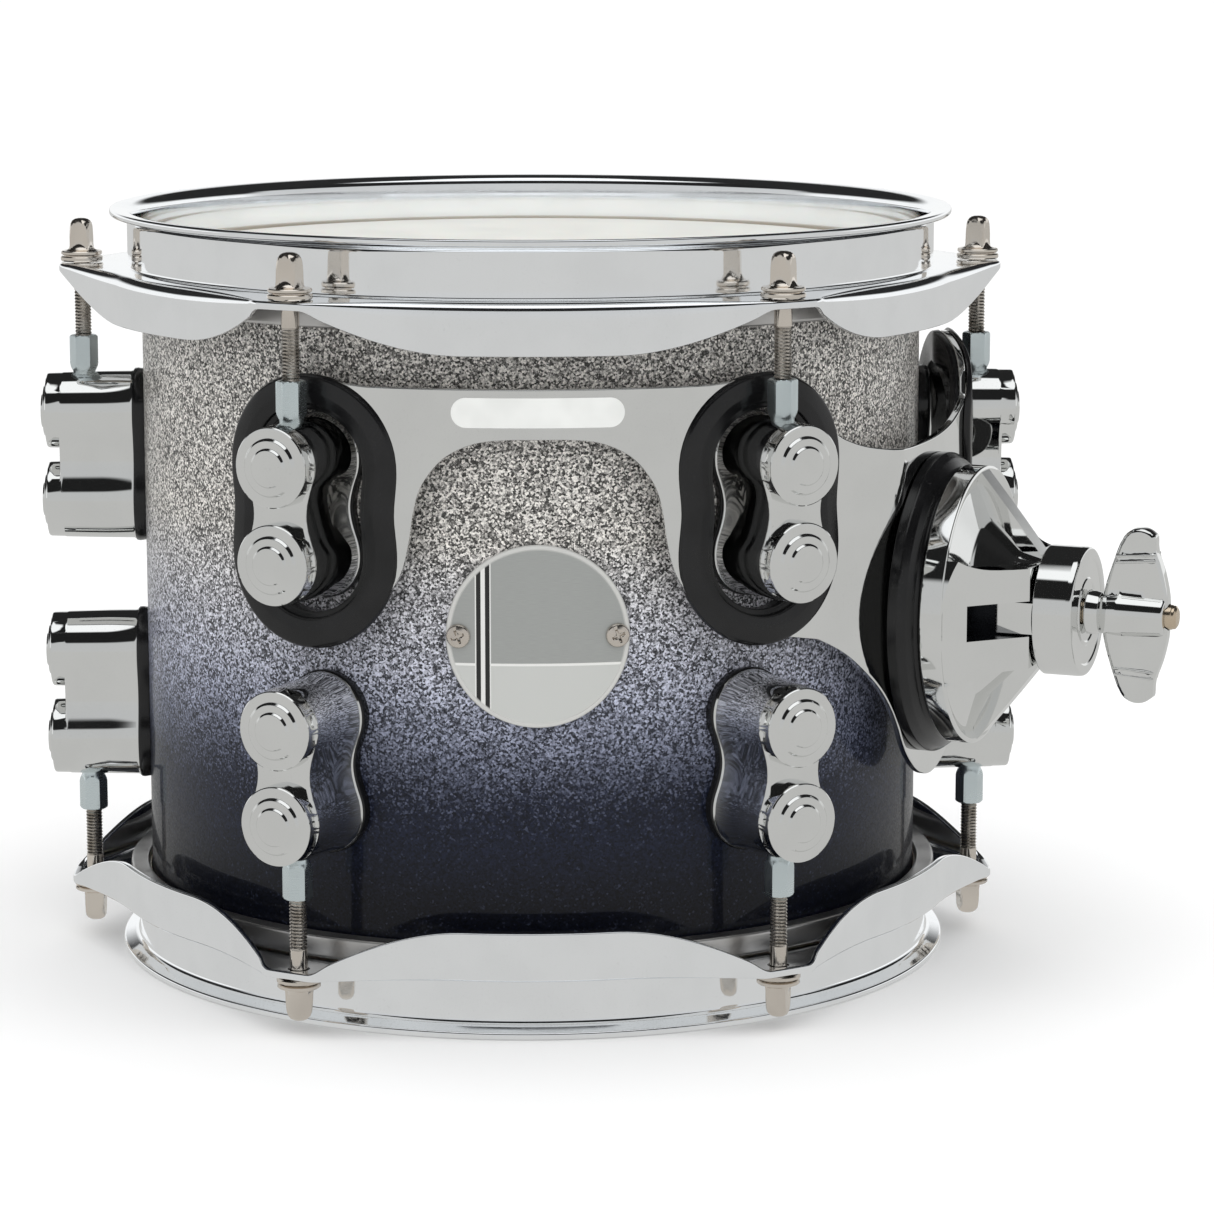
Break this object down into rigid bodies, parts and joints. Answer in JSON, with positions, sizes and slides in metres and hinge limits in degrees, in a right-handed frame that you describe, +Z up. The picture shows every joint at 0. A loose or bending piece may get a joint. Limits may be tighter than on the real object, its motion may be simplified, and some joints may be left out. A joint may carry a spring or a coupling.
{
  "type": "suspended rack tom drum",
  "caption": "Small cylindrical rack tom with sparkle-fade shell, flanged metal hoops, tension rods, double-turret lugs and a side suspension mount for an L-arm.",
  "frame": {"origin": "centre of the batter head's playing surface, on the drum's axis", "axes": "+Z up along the drum's axis out of the batter head, -Y towards the badge, +X towards the side mount"},
  "size_m": [0.3626, 0.288, 0.2436],
  "materials": {
    "sparkle_lacquer": "silver glitter fading to near-black under clear gloss lacquer",
    "chrome": "polished chrome plate",
    "nickel": "nickel-plated steel",
    "zinc": "pale blue zinc plate",
    "head_film": "smooth translucent-white film",
    "aluminium": "satin",
    "rubber": "smooth moulded",
    "badge_metal": "printed satin plate",
    "white_vinyl": "plain vinyl label"
  },
  "bodies": {
    "drum": {"shell": "sparkle_lacquer", "batter_head": "head_film", "resonant_head": "head_film", "batter_flesh_hoop": "aluminium", "resonant_flesh_hoop": "aluminium", "batter_hoop": "chrome", "resonant_hoop": "chrome", "lug_top_1": "chrome", "lug_top_2": "chrome", "lug_top_3": "chrome", "lug_top_4": "chrome", "lug_top_5": "chrome", "lug_top_6": "chrome", "lug_bottom_1": "chrome", "lug_bottom_2": "chrome", "lug_bottom_3": "chrome", "lug_bottom_4": "chrome", "lug_bottom_5": "chrome", "lug_bottom_6": "chrome", "lug_nut_top_1": "zinc", "lug_nut_top_2": "zinc", "lug_nut_top_3": "zinc", "lug_nut_top_4": "zinc", "lug_nut_top_5": "zinc", "lug_nut_top_6": "zinc", "lug_nut_bottom_1": "zinc", "lug_nut_bottom_2": "zinc", "lug_nut_bottom_3": "zinc", "lug_nut_bottom_4": "zinc", "lug_nut_bottom_5": "zinc", "lug_nut_bottom_6": "zinc", "mount_plate": "chrome", "grommet_1": "rubber", "grommet_2": "rubber", "grommet_3": "rubber", "mount_pad": "rubber", "mount_base": "chrome", "clamp_bolt": "nickel", "badge": "badge_metal", "badge_screw_left": "nickel", "badge_screw_right": "nickel", "label": "white_vinyl"},
    "clamp_cap": {"clamp_cap": "chrome"},
    "wing_nut": {"wing_nut": "chrome"},
    "tension_rod_top_1": {"tension_rod_top_1": "nickel"},
    "tension_rod_top_2": {"tension_rod_top_2": "nickel"},
    "tension_rod_top_3": {"tension_rod_top_3": "nickel"},
    "tension_rod_top_4": {"tension_rod_top_4": "nickel"},
    "tension_rod_top_5": {"tension_rod_top_5": "nickel"},
    "tension_rod_top_6": {"tension_rod_top_6": "nickel"},
    "tension_rod_bottom_1": {"tension_rod_bottom_1": "nickel"},
    "tension_rod_bottom_2": {"tension_rod_bottom_2": "nickel"},
    "tension_rod_bottom_3": {"tension_rod_bottom_3": "nickel"},
    "tension_rod_bottom_4": {"tension_rod_bottom_4": "nickel"},
    "tension_rod_bottom_5": {"tension_rod_bottom_5": "nickel"},
    "tension_rod_bottom_6": {"tension_rod_bottom_6": "nickel"}
  },
  "joints": [
    {"name": "tension_rod_top_1_turn", "type": "hinge", "parent": "drum", "child": "tension_rod_top_1", "pos_m": [-0.0733, 0.12696, -0.0033], "axis": [0, 0, 1], "continuous": true},
    {"name": "tension_rod_top_2_turn", "type": "hinge", "parent": "drum", "child": "tension_rod_top_2", "pos_m": [-0.1466, 0, -0.0033], "axis": [0, 0, 1], "continuous": true},
    {"name": "tension_rod_top_3_turn", "type": "hinge", "parent": "drum", "child": "tension_rod_top_3", "pos_m": [-0.0733, -0.12696, -0.0033], "axis": [0, 0, 1], "continuous": true},
    {"name": "tension_rod_top_4_turn", "type": "hinge", "parent": "drum", "child": "tension_rod_top_4", "pos_m": [0.0733, -0.12696, -0.0033], "axis": [0, 0, 1], "continuous": true},
    {"name": "tension_rod_top_5_turn", "type": "hinge", "parent": "drum", "child": "tension_rod_top_5", "pos_m": [0.1466, 0, -0.0033], "axis": [0, 0, 1], "continuous": true},
    {"name": "tension_rod_top_6_turn", "type": "hinge", "parent": "drum", "child": "tension_rod_top_6", "pos_m": [0.0733, 0.12696, -0.0033], "axis": [0, 0, 1], "continuous": true},
    {"name": "tension_rod_bottom_1_turn", "type": "hinge", "parent": "drum", "child": "tension_rod_bottom_1", "pos_m": [-0.0733, 0.12696, -0.2105], "axis": [0, 0, -1], "continuous": true},
    {"name": "tension_rod_bottom_2_turn", "type": "hinge", "parent": "drum", "child": "tension_rod_bottom_2", "pos_m": [-0.1466, 0, -0.2105], "axis": [0, 0, -1], "continuous": true},
    {"name": "tension_rod_bottom_3_turn", "type": "hinge", "parent": "drum", "child": "tension_rod_bottom_3", "pos_m": [-0.0733, -0.12696, -0.2105], "axis": [0, 0, -1], "continuous": true},
    {"name": "tension_rod_bottom_4_turn", "type": "hinge", "parent": "drum", "child": "tension_rod_bottom_4", "pos_m": [0.0733, -0.12696, -0.2105], "axis": [0, 0, -1], "continuous": true},
    {"name": "tension_rod_bottom_5_turn", "type": "hinge", "parent": "drum", "child": "tension_rod_bottom_5", "pos_m": [0.1466, 0, -0.2105], "axis": [0, 0, -1], "continuous": true},
    {"name": "tension_rod_bottom_6_turn", "type": "hinge", "parent": "drum", "child": "tension_rod_bottom_6", "pos_m": [0.0733, 0.12696, -0.2105], "axis": [0, 0, -1], "continuous": true},
    {"name": "clamp_slide", "type": "slide", "parent": "drum", "child": "clamp_cap", "axis": [0.9135, -0.4067, 0], "range_m": [0, 0.00375]},
    {"name": "wing_turn", "type": "hinge", "parent": "clamp_cap", "child": "wing_nut", "pos_m": [0.17412, -0.07752, -0.1077], "axis": [0.9135, -0.4067, 0], "range_deg": [0, 1080]}
  ],
  "couplings": [
    {"joint": "wing_turn", "follows": "clamp_slide", "rad_per_m": 5026.5}
  ]
}
